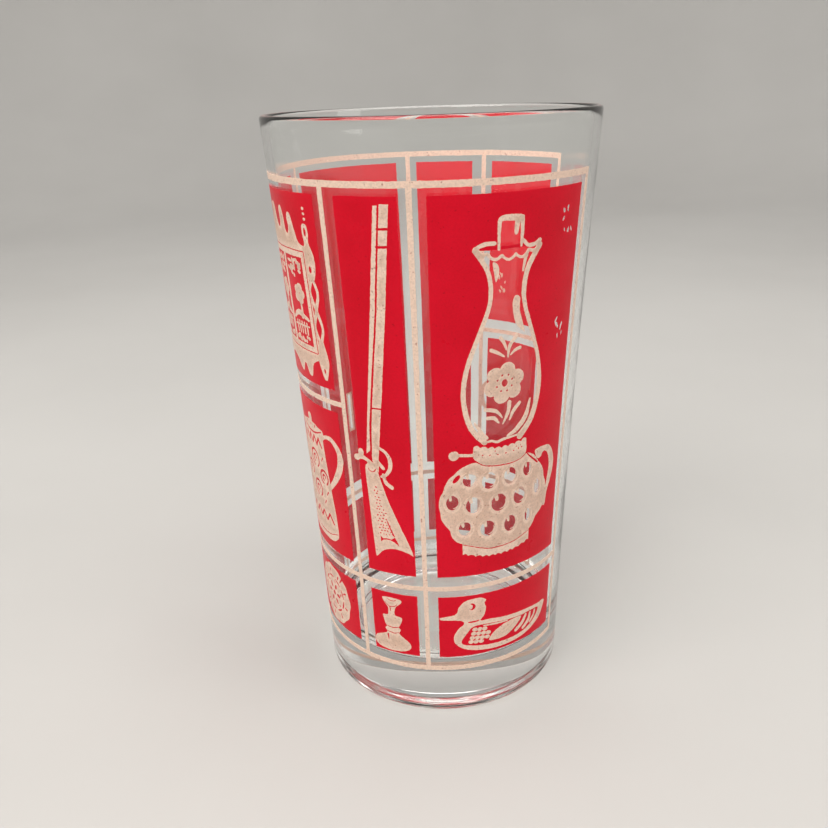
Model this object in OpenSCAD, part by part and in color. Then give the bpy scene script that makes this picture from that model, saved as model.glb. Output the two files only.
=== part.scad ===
// Pint glass with a two-colour enamel print of old household things.
// +Z is up, -Y faces the viewer, and the origin is the middle of the foot on the table.
// Azimuths are degrees from +X, so -90 is the front. Heights are millimetres above the table.

/* [Glass] */
// Height of the glass
glass_h = 149; // [140:1:160]
// Outer diameter at the rim
rim_d = 83; // [80:0.5:88]
// Outer diameter that the wall would have on the table
foot_d = 63.5; // [61:0.5:66]
// How far the wall bows inwards at mid height, which flares the rim slightly
wall_bow = 0.8; // [0:0.1:1.5]
// Wall thickness just under the rim
rim_wall = 1.9; // [1.7:0.1:2.4]
// Wall thickness beside the inner floor
foot_wall = 2.9; // [2.6:0.1:3.6]
// Height of the inner floor
floor_z = 13; // [11:0.5:15]
// Radius of the sweep from the inner floor into the wall
floor_sweep = 7.5; // [6:0.5:9]
// Radius of the outer heel
heel_r = 2.5; // [1.5:0.1:3.5]
// Width of the flat ring that the glass stands on
stand_w = 2.5; // [2:0.1:4]
// Height of the shallow hollow under the foot
punt_h = 1.2; // [0.8:0.1:2]

/* [Enamel] */
// Thickness of the fired enamel where it is thickest
enamel_t = 0.2; // [0.15:0.05:0.3]
// Thickness of the red fields, which the cream pictures are printed over
red_t = 0.1; // [0.05:0.05:0.1]
// Height of the line that runs round near the rim
top_line_z = 135.2; // [134:0.1:138]
// Height of the line over the small pictures
middle_line_z = 37.2; // [36:0.1:38]
// Height of the line round the foot
base_line_z = 14; // [13:0.1:15]
// Height of the short dividing lines in the two divided columns
divider_z = 83.4; // [82:0.1:85]
// Width of the top line
top_line_w = 1.5; // [1:0.1:2]
// Width of the other level lines
line_w = 1.2; // [0.8:0.1:1.6]
// Width of the upright lines, as an angle
rule_angle = 1.9; // [1.4:0.1:2.4]
// Clear glass from the middle of a level line up to the panel above it
clear_over = 3.3; // [2.8:0.1:3.6]
// Clear glass from the middle of a level line down to the panel below it
clear_under = 2.4; // [2:0.1:2.8]
// Clear glass to the right of an upright line, as an angle
clear_right = 5.1; // [4:0.1:6]
// Clear glass to the left of an upright line, as an angle
clear_left = 3.7; // [3:0.1:5]

/* [Columns] */
// Azimuth of the upright line that starts the print
print_start = 27; // [20:1:30]
// Width of the kettle and jug column, as an angle
kettle_col = 40; // [38:0.5:42]
// Width of the broom column, as an angle
broom_col = 33.5; // [32:0.5:35]
// Width of the chair column, as an angle
chair_col = 61.5; // [58:0.5:64]
// Width of the mirror and coffee pot column, as an angle
mirror_col = 71; // [69:0.5:73]
// Width of the musket column, as an angle
musket_col = 30; // [29:0.5:31]
// Width of the lamp column, as an angle
lamp_col = 67; // [65:0.5:69]

/* [Hidden] */
$fn = 96;

red = [0.82, 0.08, 0.15];
cream = [0.91, 0.82, 0.72];
clear_glass = [0.85, 0.9, 0.92, 0.4];

// The wall is built from this many straight cones, which follow the bow closely.
wall_cones = 6;
lip_r = rim_wall / 2;
// Sloping width between the punt and the standing ring, and where the heel arc starts
punt_slope = 4;
heel_start = -72;
// Upright lines in order, from the start of the print, going anticlockwise seen from above
rule_1 = print_start;
rule_2 = rule_1 + kettle_col;
rule_3 = rule_2 + broom_col;
rule_4 = rule_3 + chair_col;
rule_5 = rule_4 + mirror_col;
rule_6 = rule_5 + musket_col;
rule_7 = rule_6 + lamp_col;
panel_top_z = top_line_z - clear_under;
panel_low_z = middle_line_z + clear_over;
small_top_z = middle_line_z - clear_under;
small_low_z = base_line_z + clear_over;

// Radius of the bowed wall at a height, then the same on the straight cones that stand for it
function bowed_r(z) = let (t = z / glass_h) foot_d / 2 + (rim_d - foot_d) / 2 * t - 4 * wall_bow * t * (1 - t);
wall_levels = [for (i = [0:wall_cones]) glass_h * i / wall_cones];
wall_table = [for (z = wall_levels) [z, bowed_r(z)]];
function wall_r(z) = lookup(z, wall_table);
function wall_between(z0, z1) = concat([z0], [for (z = wall_levels) if (z > z0 && z < z1) z], [z1]);
function wall_t(z) = foot_wall + (rim_wall - foot_wall) * z / glass_h;

// Points of an arc, from angle a0 to a1
function arc(cx, cy, r, a0, a1, steps) =
    [for (i = [0:steps]) let (a = a0 + (a1 - a0) * i / steps) [cx + r * cos(a), cy + r * sin(a)]];
function reversed(list) = [for (i = [len(list) - 1:-1:0]) list[i]];
// Closes a right-hand half outline with its mirror image
function both_sides(half) = concat(half, [for (p = reversed(half)) [-p[0], p[1]]]);
function ellipse(rx, ry, steps = 32) =
    [for (i = [0:steps - 1]) [rx * cos(360 * i / steps), ry * sin(360 * i / steps)]];

// Half section of the glass, from the punt, round the heel, up, over the lip and down the inside
function glass_section() =
    let (
        heel_x = wall_r(heel_r) - heel_r,
        stand_x = heel_x - stand_w,
        lip_z = glass_h - lip_r,
        lip_x = wall_r(lip_z) - lip_r,
        sweep_z = floor_z + floor_sweep,
        inside_x = wall_r(sweep_z) - wall_t(sweep_z)
    )
    concat(
        [[0, punt_h], [stand_x - punt_slope, punt_h], [stand_x, 0], [heel_x, 0]],
        arc(heel_x, heel_r, heel_r, heel_start, 0, 4),
        [for (z = wall_levels) if (z > heel_r && z < lip_z) [wall_r(z), z]],
        arc(lip_x, lip_z, lip_r, 0, 180, 8),
        [for (z = reversed(wall_levels)) if (z > sweep_z && z < lip_z) [wall_r(z) - wall_t(z), z]],
        arc(inside_x - floor_sweep, sweep_z, floor_sweep, 0, -90, 8),
        [[0, floor_z]]
    );

// A patch of enamel from azimuth a0 to a1 and from height z0 to z1, low to high above the wall
module skin(a0, a1, z0, z1, low = 0, high = enamel_t) {
    levels = wall_between(z0, z1);
    inner = [for (z = levels) [wall_r(z) + low, z]];
    outer = [for (z = reversed(levels)) [wall_r(z) + high, z]];
    rotate_extrude(angle = a1 - a0, start = a0) polygon(concat(inner, outer));
}

// Carries a flat drawing, x to the right and y up, straight out through the wall at an azimuth
module stamp(azimuth, z) {
    rotate([0, 0, azimuth + 90]) rotate([90, 0, 0]) linear_extrude(height = rim_d) translate([0, z]) children();
}

module level_line(a0, a1, z, w) {
    color(cream) skin(a0, a1, z - w / 2, z + w / 2);
}

module upright_rule(azimuth) {
    color(cream)
        skin(azimuth - rule_angle / 2, azimuth + rule_angle / 2, base_line_z + line_w / 2, top_line_z - top_line_w / 2);
}

// A red field between two upright lines
module field(left_rule, right_rule, z0, z1) {
    skin(left_rule + clear_right, right_rule - clear_left, z0, z1, 0, red_t);
}
module panel(left_rule, right_rule, z0, z1) {
    color(red) field(left_rule, right_rule, z0, z1);
}

// A cream picture printed over a red field, or on the bare wall where low is 0
module picture(azimuth, z, low = red_t, half_angle = 34) {
    color(cream) intersection() {
        skin(azimuth - half_angle, azimuth + half_angle, small_low_z, panel_top_z, low);
        stamp(azimuth, z) children();
    }
}

// A pointed leaf from the origin upwards
module leaf(length, width) {
    r = (length * length / 4 + width * width / 4) / width;
    translate([0, length / 2]) intersection() {
        translate([r - width / 2, 0]) circle(r);
        translate([width / 2 - r, 0]) circle(r);
    }
}

/* Drawings. Each stands on its own y = 0. */

module lamp_chimney_outline() {
    polygon(both_sides([[4.8, 29.5], [8.6, 35.5], [10.2, 42.5], [9.7, 48], [7.2, 56], [5, 62.5], [4.5, 67], [5.6, 72],
        [8.6, 76.5], [3.5, 76.5], [3.5, 83.5]]));
}
module lamp_chimney_glass() {
    polygon(both_sides([[3.8, 29.5], [7.3, 35.7], [8.9, 42.5], [8.4, 48], [5.9, 56], [3.8, 62.5], [3.3, 67], [4.3, 71.5],
        [6.2, 75.3]]));
    translate([-2.4, 76.5]) square([4.8, 6]);
}
module lamp_flower() {
    petal_r = 2.1;
    difference() {
        union() {
            for (a = [0:60:300]) rotate(a) translate([3, 0]) circle(petal_r);
            circle(3);
        }
        circle(0.9);
    }
    for (side = [-1, 1]) {
        translate([side * 0.5, 6]) rotate(-side * 20) leaf(5, 1.1);
        translate([side * 1.4, 6]) rotate(-side * 58) leaf(4.6, 1.1);
        translate([side * 0.5, -11]) rotate(-side * 28) leaf(4.8, 1.1);
        translate([side * 1.2, -11]) rotate(-side * 62) leaf(5.6, 1.1);
    }
}
module lamp_base_outline() {
    translate([-8.6, 0.8]) square([17.2, 4]);
    for (i = [-4:4]) translate([i * 2.05, 1]) circle(1);
    translate([0, 14.4]) polygon(ellipse(14.6, 10.3));
    translate([-7.2, 23.8]) square([14.4, 5.2]);
    translate([-13.6, 25.8]) square([7, 0.9]);
    translate([-13.2, 26.2]) circle(1.3);
    difference() {
        translate([10.8, 18]) circle(6.6);
        translate([11.4, 17.4]) circle(4.2);
    }
}
module lamp_base_windows() {
    small_r = 1.8;
    large_r = 2;
    for (x = [-7.5, -2.7, 2.6, 7.4]) translate([x, 21]) circle(small_r);
    for (x = [-12, -6.9, -0.6, 5.3, 11]) translate([x, 15.2]) circle(large_r);
    for (x = [-8.8, -3.2, 2.5, 7.6]) translate([x, 9]) circle(small_r);
}
module duck_outline() {
    polygon([[-14, 9.4], [-9.8, 11.2], [-9, 9.2], [-12.5, 5.2], [-12, 2.2], [-8.5, 0.4], [0, 0], [7, 2.4], [14.4, 7.4],
        [14, 9.2], [7, 8.6], [-1, 9.2], [-5, 9.2], [-4.6, 12.4], [-5.8, 14.6], [-8, 15.3], [-10, 13.8], [-10.6, 11.6],
        [-14, 10.6]]);
}
module duck_marks() {
    translate([-7.3, 12.4]) circle(0.5);
    translate([-5, 4.6]) rotate(-86) leaf(12, 2.6);
}
module musket_outline() {
    polygon([[-3.8, 0], [0.4, 1.6], [6, 2], [-0.8, 19.6], [0.6, 28], [5.8, 86.6], [2.6, 86.6], [-4.1, 25.5],
        [-4.6, 22.4]]);
    translate([-7.4, 25.8]) rotate(4) square([5, 1.1]);
    difference() {
        translate([0.9, 24.5]) circle(3.2);
        translate([1, 24.5]) circle(2.3);
    }
}
module musket_marks() {
    for (y = [39, 76.5, 81]) translate([-8, y]) square([14, 0.35]);
    polygon([[-1.2, 4.5], [2.4, 4], [-1.6, 15.4]]);
}
module candlestick_outline() {
    polygon(both_sides([[4.8, 1.6], [3.4, 4], [1.2, 5], [1.2, 6.4], [2, 7], [2.5, 9.4], [1, 10], [1, 12.8], [2.7, 13.8],
        [2.7, 15], [0.6, 15.4]]));
    translate([-4, 0]) square([8, 2]);
}
module mirror_outline() {
    polygon(both_sides([[15.4, 5.4], [18.2, 6.2], [18.2, 31.4], [15.4, 34.4], [12, 35.2], [8, 40.6], [3, 38.4], [0, 41]]));
    for (side = [-1, 1]) {
        translate([side * 16.6, 7]) circle(2.1);
        translate([side * 16.6, 31.6]) circle(2.1);
        translate([side * 10, 5]) circle(4.2);
    }
    translate([-15.4, 3.4]) square([30.8, 3]);
}
module mirror_glass() {
    translate([-13.8, 8.4]) square([27.6, 23]);
}
module mirror_view() {
    polygon([[-12.4, 9.6], [-6, 13.2], [4, 11.6], [12.4, 14.4], [12.4, 9.6]]);
    for (x = [-7.6, 6.4]) {
        translate([x - 0.5, 12]) square([1, 8]);
        translate([x, 22.5]) circle(4);
    }
}
module coffeepot_outline() {
    polygon(both_sides([[8.2, 0.8], [7, 15], [6.2, 28.4], [6.4, 30], [2.4, 31.2], [1.2, 33.4]]));
    polygon([[-6.6, 14], [-12.6, 25.4], [-9.6, 26.4], [-6.2, 20]]);
    difference() {
        translate([6.2, 22.4]) circle(6.4);
        translate([6.2, 22.4]) circle(4.8);
    }
}
module coffeepot_marks() {
    for (y = [6, 26.8]) translate([-5.2, y]) square([10.4, 0.6]);
    for (p = [[-4.6, 17.4], [0, 21.2], [0, 12.8], [4.6, 17.4]]) translate(p) circle(1.5);
}
module plate_outline() {
    for (a = [0:30:330]) rotate(a) translate([6.6, 0]) circle(1.7);
    circle(7.2);
}
module plate_marks() {
    difference() {
        circle(5.2);
        circle(4.7);
    }
}
spindle_x = 6;
module chair_outline() {
    rocker_r = 64;
    for (side = [-1, 1]) translate([side * 9.2 - 1, 1.6]) square([2, 58.4]);
    for (y = [34, 42, 50, 57]) translate([-9, y]) square([18, 3]);
    translate([-11, 24]) square([22, 3]);
    translate([-9, 12]) square([18, 1.6]);
    for (side = [-1, 1]) translate([side * spindle_x - 1.4, 11.4]) square([2.8, 13]);
    intersection() {
        translate([-14, 0]) square([28, 4]);
        difference() {
            translate([0, rocker_r]) circle(rocker_r);
            translate([0, rocker_r]) circle(rocker_r - 1.8);
        }
    }
}
// The bare slots down the middle of the two outlined spindles under the seat
module chair_slots() {
    for (side = [-1, 1]) translate([side * spindle_x - 0.5, 12.4]) square([1, 10.4]);
}
module bowl_outline() {
    polygon(both_sides([[4, 0], [5, 2], [9.5, 7], [11, 12.6]]));
}
module bowl_marks() {
    for (x = [-5.4, 0, 5.4]) translate([x, 8.6]) circle(1);
}
module broom_outline() {
    polygon(both_sides([[5.6, 0], [4.2, 14], [1.6, 20], [0.9, 22], [0.8, 80]]));
}
module broom_marks() {
    for (y = [12, 15.4]) translate([-6, y]) square([12, 0.5]);
}
module key_outline() {
    translate([-0.8, 0]) square([1.6, 11]);
    translate([0, 12]) circle(2.6);
    for (y = [0, 3]) translate([0, y]) square([3.2, 1.6]);
}
module kettle_outline() {
    polygon(both_sides([[8.6, 0], [9.6, 6], [7.4, 13], [3, 15.6], [1.2, 16], [1.2, 18]]));
    polygon([[-8, 4], [-13.2, 13], [-11, 13.8], [-7, 9.6]]);
    difference() {
        translate([0, 12.5]) circle(9);
        translate([0, 12.5]) circle(7.5);
        translate([-10, 0]) square([20, 9.6]);
    }
}
module jug_outline() {
    polygon(both_sides([[5.4, 0], [7.6, 8], [6.8, 16], [4.2, 22], [5, 28]]));
    difference() {
        translate([6.4, 17]) circle(5.4);
        translate([6.4, 17]) circle(3.9);
    }
}
module jug_marks() {
    for (y = [6, 15]) translate([-6, y]) square([12, 0.6]);
}
module iron_outline() {
    polygon([[-9, 0], [8, 0], [8, 5.4], [2, 5.8], [-5, 3.6]]);
    difference() {
        translate([-2, 4]) square([9.4, 8]);
        translate([-0.4, 5]) square([6.2, 5]);
    }
}

/* Sub-parts */

module glass_tumbler() {
    color(clear_glass) rotate_extrude() polygon(glass_section());
}

module top_line() {
    level_line(rule_1 - rule_angle / 2, rule_7 + rule_angle / 2, top_line_z, top_line_w);
}
module base_line() {
    level_line(rule_1 - rule_angle / 2, rule_7 + rule_angle / 2, base_line_z, line_w);
}
// A level line that fills the space between two upright rules
module short_line(left_rule, right_rule, z) {
    level_line(left_rule + rule_angle / 2, right_rule - rule_angle / 2, z, line_w);
}
module middle_line() {
    rules = [rule_1, rule_2, rule_3, rule_4, rule_5, rule_6, rule_7];
    for (i = [0:len(rules) - 2]) short_line(rules[i], rules[i + 1], middle_line_z);
}
module mirror_divider() {
    short_line(rule_4, rule_5, divider_z);
}
module kettle_divider() {
    short_line(rule_1, rule_2, divider_z);
}
module rule_kettle_left() {
    upright_rule(rule_1);
}
module rule_kettle_broom() {
    upright_rule(rule_2);
}
module rule_broom_chair() {
    upright_rule(rule_3);
}
module rule_chair_mirror() {
    upright_rule(rule_4);
}
module rule_mirror_musket() {
    upright_rule(rule_5);
}
module rule_musket_lamp() {
    upright_rule(rule_6);
}
module rule_lamp_right() {
    upright_rule(rule_7);
}

// Azimuths of the pictures
kettle_az = (rule_1 + rule_2) / 2 + 1;
broom_az = (rule_2 + rule_3) / 2 + 0.7;
chair_az = (rule_3 + rule_4) / 2 + 0.7;
mirror_az = (rule_4 + rule_5) / 2 + 0.7;
pot_az = mirror_az + 9.5;
musket_az = rule_6 - 15;
lamp_az = rule_7 - 35.4;
plate_az = rule_5 - 23;
duck_az = rule_7 - 33.4;
// Heights of the feet of the pictures
lamp_low = 44.8;
flower_z = 89.6;
musket_low = 45;
mirror_low = 88;
pot_low = 44;
plate_z = 26;
upper_low = divider_z + 8;
lower_low = 45;
small_low = 19;
candlestick_low = 18;

module kettle_panel() {
    panel(rule_1, rule_2, divider_z + clear_over, panel_top_z);
}
module kettle_picture() {
    picture(kettle_az, upper_low) kettle_outline();
}
module jug_panel() {
    panel(rule_1, rule_2, panel_low_z, divider_z - clear_under);
}
module jug_picture() {
    picture(kettle_az, lower_low) difference() {
        jug_outline();
        jug_marks();
    }
}
module iron_panel() {
    panel(rule_1, rule_2, small_low_z, small_top_z);
}
module iron_picture() {
    picture(kettle_az, small_low) iron_outline();
}
module broom_panel() {
    panel(rule_2, rule_3, panel_low_z, panel_top_z);
}
module broom_picture() {
    picture(broom_az, lower_low) difference() {
        broom_outline();
        broom_marks();
    }
}
module key_panel() {
    panel(rule_2, rule_3, small_low_z, small_top_z);
}
module key_picture() {
    picture(broom_az, small_low) difference() {
        key_outline();
        translate([0, 12]) circle(1.2);
    }
}
module chair_panel() {
    color(red) difference() {
        field(rule_3, rule_4, panel_low_z, panel_top_z);
        stamp(chair_az, lower_low) chair_slots();
    }
}
module chair_picture() {
    picture(chair_az, lower_low) difference() {
        chair_outline();
        chair_slots();
    }
}
module bowl_panel() {
    panel(rule_3, rule_4, small_low_z, small_top_z);
}
module bowl_picture() {
    picture(chair_az, small_low) difference() {
        bowl_outline();
        bowl_marks();
    }
}
module mirror_panel() {
    panel(rule_4, rule_5, divider_z + clear_over, panel_top_z);
}
module mirror_picture() {
    picture(mirror_az, mirror_low) {
        difference() {
            mirror_outline();
            mirror_glass();
        }
        mirror_view();
    }
}
module coffeepot_panel() {
    panel(rule_4, rule_5, panel_low_z, divider_z - clear_under);
}
module coffeepot_picture() {
    picture(pot_az, pot_low) difference() {
        coffeepot_outline();
        coffeepot_marks();
    }
}
module plate_panel() {
    panel(rule_4, rule_5, small_low_z, small_top_z);
}
module plate_picture() {
    picture(plate_az, plate_z) difference() {
        plate_outline();
        plate_marks();
    }
}
module musket_panel() {
    panel(rule_5, rule_6, panel_low_z, panel_top_z);
}
module musket_picture() {
    picture(musket_az, musket_low) difference() {
        musket_outline();
        musket_marks();
    }
}
module candlestick_panel() {
    panel(rule_5, rule_6, small_low_z, small_top_z);
}
module candlestick_picture() {
    picture(musket_az, candlestick_low) candlestick_outline();
}
module lamp_panel() {
    color(red) difference() {
        field(rule_6, rule_7, panel_low_z, panel_top_z);
        stamp(lamp_az, lamp_low) {
            lamp_chimney_glass();
            lamp_base_windows();
        }
    }
}
module lamp_chimney_picture() {
    picture(lamp_az, lamp_low) difference() {
        lamp_chimney_outline();
        lamp_chimney_glass();
        lamp_base_outline();
    }
}
module lamp_flower_picture() {
    picture(lamp_az, flower_z, 0) lamp_flower();
}
module lamp_base_picture() {
    picture(lamp_az, lamp_low) difference() {
        lamp_base_outline();
        lamp_base_windows();
    }
}
module duck_panel() {
    panel(rule_6, rule_7, small_low_z, small_top_z);
}
module duck_picture() {
    picture(duck_az, small_low) difference() {
        duck_outline();
        duck_marks();
    }
}

glass_tumbler();
top_line();
middle_line();
base_line();
mirror_divider();
kettle_divider();
rule_kettle_left();
rule_kettle_broom();
rule_broom_chair();
rule_chair_mirror();
rule_mirror_musket();
rule_musket_lamp();
rule_lamp_right();
kettle_panel();
jug_panel();
iron_panel();
broom_panel();
key_panel();
chair_panel();
bowl_panel();
mirror_panel();
coffeepot_panel();
plate_panel();
musket_panel();
candlestick_panel();
lamp_panel();
duck_panel();
kettle_picture();
jug_picture();
iron_picture();
broom_picture();
key_picture();
chair_picture();
bowl_picture();
mirror_picture();
coffeepot_picture();
plate_picture();
musket_picture();
candlestick_picture();
lamp_chimney_picture();
lamp_flower_picture();
lamp_base_picture();
duck_picture();
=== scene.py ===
import math
import random
from collections import Counter, namedtuple

import bmesh
import bpy
import numpy as np
from mathutils import Matrix, Vector, kdtree, noise
from mathutils.geometry import delaunay_2d_cdt


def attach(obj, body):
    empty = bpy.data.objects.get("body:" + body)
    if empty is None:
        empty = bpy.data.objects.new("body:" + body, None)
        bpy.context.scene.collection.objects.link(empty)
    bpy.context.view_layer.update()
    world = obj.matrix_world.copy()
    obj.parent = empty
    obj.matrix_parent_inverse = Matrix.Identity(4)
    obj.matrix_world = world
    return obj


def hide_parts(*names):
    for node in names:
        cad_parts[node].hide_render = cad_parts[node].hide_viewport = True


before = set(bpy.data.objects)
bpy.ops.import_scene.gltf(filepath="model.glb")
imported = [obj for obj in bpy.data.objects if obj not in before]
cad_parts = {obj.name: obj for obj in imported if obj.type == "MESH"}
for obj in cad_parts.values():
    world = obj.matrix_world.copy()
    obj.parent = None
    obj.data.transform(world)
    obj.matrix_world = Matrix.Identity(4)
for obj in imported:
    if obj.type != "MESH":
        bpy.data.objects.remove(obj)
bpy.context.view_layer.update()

# Drawings are in millimetres and Blender's own unit is the metre.
# Azimuths are degrees from +X, so -90 is the front.
MM = 0.001

# ---------------------------------------------------------------- what the frame says about the glass


def points_mm(node):
    """A CAD node's vertices in millimetres, as an array."""
    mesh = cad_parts[node].data
    flat = np.empty(len(mesh.vertices) * 3, np.float32)
    mesh.vertices.foreach_get("co", flat)
    return flat.reshape(-1, 3).astype(float) / MM


def radius_of(points):
    return np.hypot(points[:, 0], points[:, 1])


GLASS = points_mm("glass_tumbler")
GLASS_R = radius_of(GLASS)
GLASS_H = GLASS[:, 2].max()
# The CAD wall is this many straight cones, so the smooth wall runs through the rings between them.
WALL_CONES = 6
# Vertices this close to a ring's height, or to the floor, belong to it
RING_REACH, STAND_REACH = 0.05, 0.01
# The hollow under the foot lies below this height and the floor inside lies above it
UNDER_FLOOR_Z = 5
RING_Z = [GLASS_H * i / WALL_CONES for i in range(1, WALL_CONES)]


def ring_radii(z):
    """Outer and inner radius of the CAD wall at one of its rings."""
    near = GLASS_R[abs(GLASS[:, 2] - z) < RING_REACH]
    return near.max(), near.min()


RINGS = [ring_radii(z) for z in RING_Z]
OUTER = np.polyfit(RING_Z, [r[0] for r in RINGS], 2)
WALL_T = np.polyfit(RING_Z, [r[0] - r[1] for r in RINGS], 1)
STAND_R = GLASS_R[GLASS[:, 2] < STAND_REACH]
STAND_IN, STAND_OUT = STAND_R.min(), STAND_R.max()
MIDDLE_Z = GLASS[GLASS_R < STAND_IN, 2]
PUNT_H, FLOOR_Z = MIDDLE_Z[MIDDLE_Z < UNDER_FLOOR_Z].max(), MIDDLE_Z[MIDDLE_Z > UNDER_FLOOR_Z].min()


def wall_r(z):
    return OUTER[0] * z * z + OUTER[1] * z + OUTER[2]


def azimuths(node):
    """Lowest and highest azimuth of a node in degrees, unwrapped so that the print runs from low to high."""
    p = points_mm(node)
    a = np.degrees(np.arctan2(p[:, 1], p[:, 0])) % 360
    return a.min(), a.max()


def heights(node):
    z = points_mm(node)[:, 2]
    return z.min(), z.max()


# ---------------------------------------------------------------- flat drawing

# Longest side of a drawn edge, and the finer one that scallops need
EDGE_STEP = 0.33
SCALLOP_STEP = 0.2
# Radius at which the wall is unrolled
MEAN_R = 36.0
# How far a printed edge strays, with fine waves and some broad ones
RAGGED = 0.085
FINE_WAVES, BROAD_WAVES = 2.9, 0.6
BROAD_SHARE = 0.6
# Points closer than this are one point
SAME_POINT = 1e-4
# noise_vector takes its offsets from the clock unless it is seeded
EDGE_SEED = 5
noise.seed_set(EDGE_SEED)


def arc(cx, cy, r, start, end, steps=14):
    turn = [math.radians(start + (end - start) * i / steps) for i in range(steps + 1)]
    return [(cx + r * math.cos(a), cy + r * math.sin(a)) for a in turn]


def cos_sin(degrees):
    return math.cos(math.radians(degrees)), math.sin(math.radians(degrees))


def ellipse(cx, cy, rx, ry=None, tilt=0.0, steps=28):
    ry = rx if ry is None else ry
    c, s = cos_sin(tilt)
    out = []
    for i in range(steps):
        a = 2 * math.pi * i / steps
        x, y = rx * math.cos(a), ry * math.sin(a)
        out.append((cx + x * c - y * s, cy + x * s + y * c))
    return out


def box(x0, y0, x1, y1):
    return [(x0, y0), (x1, y0), (x1, y1), (x0, y1)]


def mirrored(points):
    return [(-x, y) for x, y in reversed(points)]


def both_sides(half):
    """Closes a right-hand half outline with its mirror image."""
    return list(half) + mirrored(half)


def curve(points, closed=False, step=EDGE_STEP):
    """A smooth Catmull-Rom curve through a few points."""
    n = len(points)
    spans = n if closed else n - 1
    at = (lambda i: points[i % n]) if closed else (lambda i: points[min(max(i, 0), n - 1)])
    out = []
    for i in range(spans):
        p0, p1, p2, p3 = at(i - 1), at(i), at(i + 1), at(i + 2)
        cuts = max(2, math.ceil(math.dist(p1, p2) / step))
        for k in range(cuts):
            t = k / cuts
            out.append(tuple(
                0.5 * (2 * b + (c - a) * t + (2 * a - 5 * b + 4 * c - d) * t * t
                       + (3 * b - a - 3 * c + d) * t ** 3)
                for a, b, c, d in zip(p0, p1, p2, p3)
            ))
    if not closed:
        out.append(tuple(points[-1]))
    return out


def stroke(points, *widths):
    """A brush stroke along a smooth curve, with its widths spread evenly from start to end."""
    path = curve(points)
    last = len(path) - 1
    left, right = [], []
    for i, (x, y) in enumerate(path):
        ax, ay = path[max(i - 1, 0)]
        bx, by = path[min(i + 1, last)]
        length = math.hypot(bx - ax, by - ay)
        nx, ny = (ay - by) / length, (bx - ax) / length
        half = np.interp(i / last, np.linspace(0, 1, len(widths)), widths) / 2
        left.append((x + nx * half, y + ny * half))
        right.append((x - nx * half, y - ny * half))
    tip = round_end(path[-2], path[-1], widths[-1])
    tail = round_end(path[1], path[0], widths[0])
    return left + tip + right[::-1] + tail


def round_end(before, end, width):
    """The half circle that ends a stroke."""
    facing = math.degrees(math.atan2(end[1] - before[1], end[0] - before[0]))
    return arc(*end, width / 2, facing + 90, facing - 90, 6)[1:-1]


def scallops(points, depth, count):
    """A wavy edge along a smooth curve, with rounded bumps to its left."""
    path = curve(points, step=SCALLOP_STEP)
    last = len(path) - 1
    out = []
    for i, (x, y) in enumerate(path):
        ax, ay = path[max(i - 1, 0)]
        bx, by = path[min(i + 1, last)]
        length = math.hypot(bx - ax, by - ay)
        bump = depth * abs(math.sin(math.pi * count * i / last))
        out.append((x - (by - ay) / length * bump, y + (bx - ax) / length * bump))
    return out


# outline is what the cream covers, marks are left out of it and show red, and islands are printed inside the
# marks. windows are left out of the cream and the red alike, ridges are raised strokes on the cream, and bare
# is left out of the red only.
Picture = namedtuple("Picture", "outline marks islands windows ridges bare", defaults=((), (), (), (), ()))

# ---------------------------------------------------------------- the pictures

CHIMNEY_SIDE = [(4.6, 30.8), (8, 35), (9.8, 42), (9.2, 49), (6.8, 56.4), (4.7, 62.2), (4.1, 66.5),
                (5, 71.3), (7.9, 75.9)]


def lamp_chimney():
    side = curve(CHIMNEY_SIDE)
    body = both_sides(side)
    pipe = curve([(-2.6, 76.6), (-2.6, 81), (-2.3, 82.6), (0, 82.9), (2.5, 82.6), (3.2, 81), (3.2, 76.6)])
    lines = [
        stroke(CHIMNEY_SIDE, 1.7, 1.5, 1.2, 1.0, 1.0, 1.2, 1.4),
        stroke(mirrored(CHIMNEY_SIDE), 1.1, 1.0, 1.0, 1.1, 1.1, 1.2, 1.3),
        # the pipe at the top, thicker on its right side
        stroke([(-2.6, 76), (-2.6, 80.6), (-2.2, 82.4), (0, 82.6), (2.4, 82.3)], 0.6, 0.7, 1.3, 1.6),
        stroke([(2.9, 82.4), (3, 79), (2.9, 76.2)], 1.1, 0.8, 0.5),
        stroke([(1.7, 81.6), (1.5, 79.2)], 1.3, 0.9),
        # the fluted mouth, its near edge and its far edge
        stroke(scallops([(-7.9, 76.1), (-3, 74.7), (3, 74.7), (7.7, 76.2)], -1.0, 5), 0.8, 0.6, 0.8),
        stroke([(-8, 76.3), (-6, 77.2), (-3.6, 77.3)], 1.0, 0.9),
        stroke([(3.4, 77.4), (4.6, 76.2), (6.4, 76.2), (7.9, 76.9)], 0.8, 1.0),
        stroke([(-8, 76.1), (-6.2, 74.8)], 1.2, 0.9),
        # shine on the glass
        curve([(-3.9, 73.1), (-2.7, 72.6), (-2.3, 70.8), (-2.9, 68.8), (-3.4, 70.6)], closed=True),
        stroke([(4.3, 74.2), (3.6, 70.6)], 1.0, 0.4),
        curve([(2.0, 65.2), (3.1, 64.6), (3.2, 61.6), (4.7, 57), (4.4, 56.6), (2.4, 58.6), (1.5, 61.6),
               (1.3, 63.8)], closed=True),
        stroke([(7.2, 39.6), (6, 35.4), (3.4, 32.6), (1.2, 31.6)], 0.4, 1.2, 1.3, 0.5),
        stroke([(-7.1, 36), (-5.3, 33.2), (-4.1, 31.9)], 0.4, 0.9, 0.8),
        stroke([(-4.8, 30.6), (-3, 31), (-1.4, 30.5), (0, 30.9), (2.4, 31.1), (4.6, 31.3)], 0.5, 0.65, 0.4),
    ]
    return Picture(lines, bare=[body, pipe])


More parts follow.
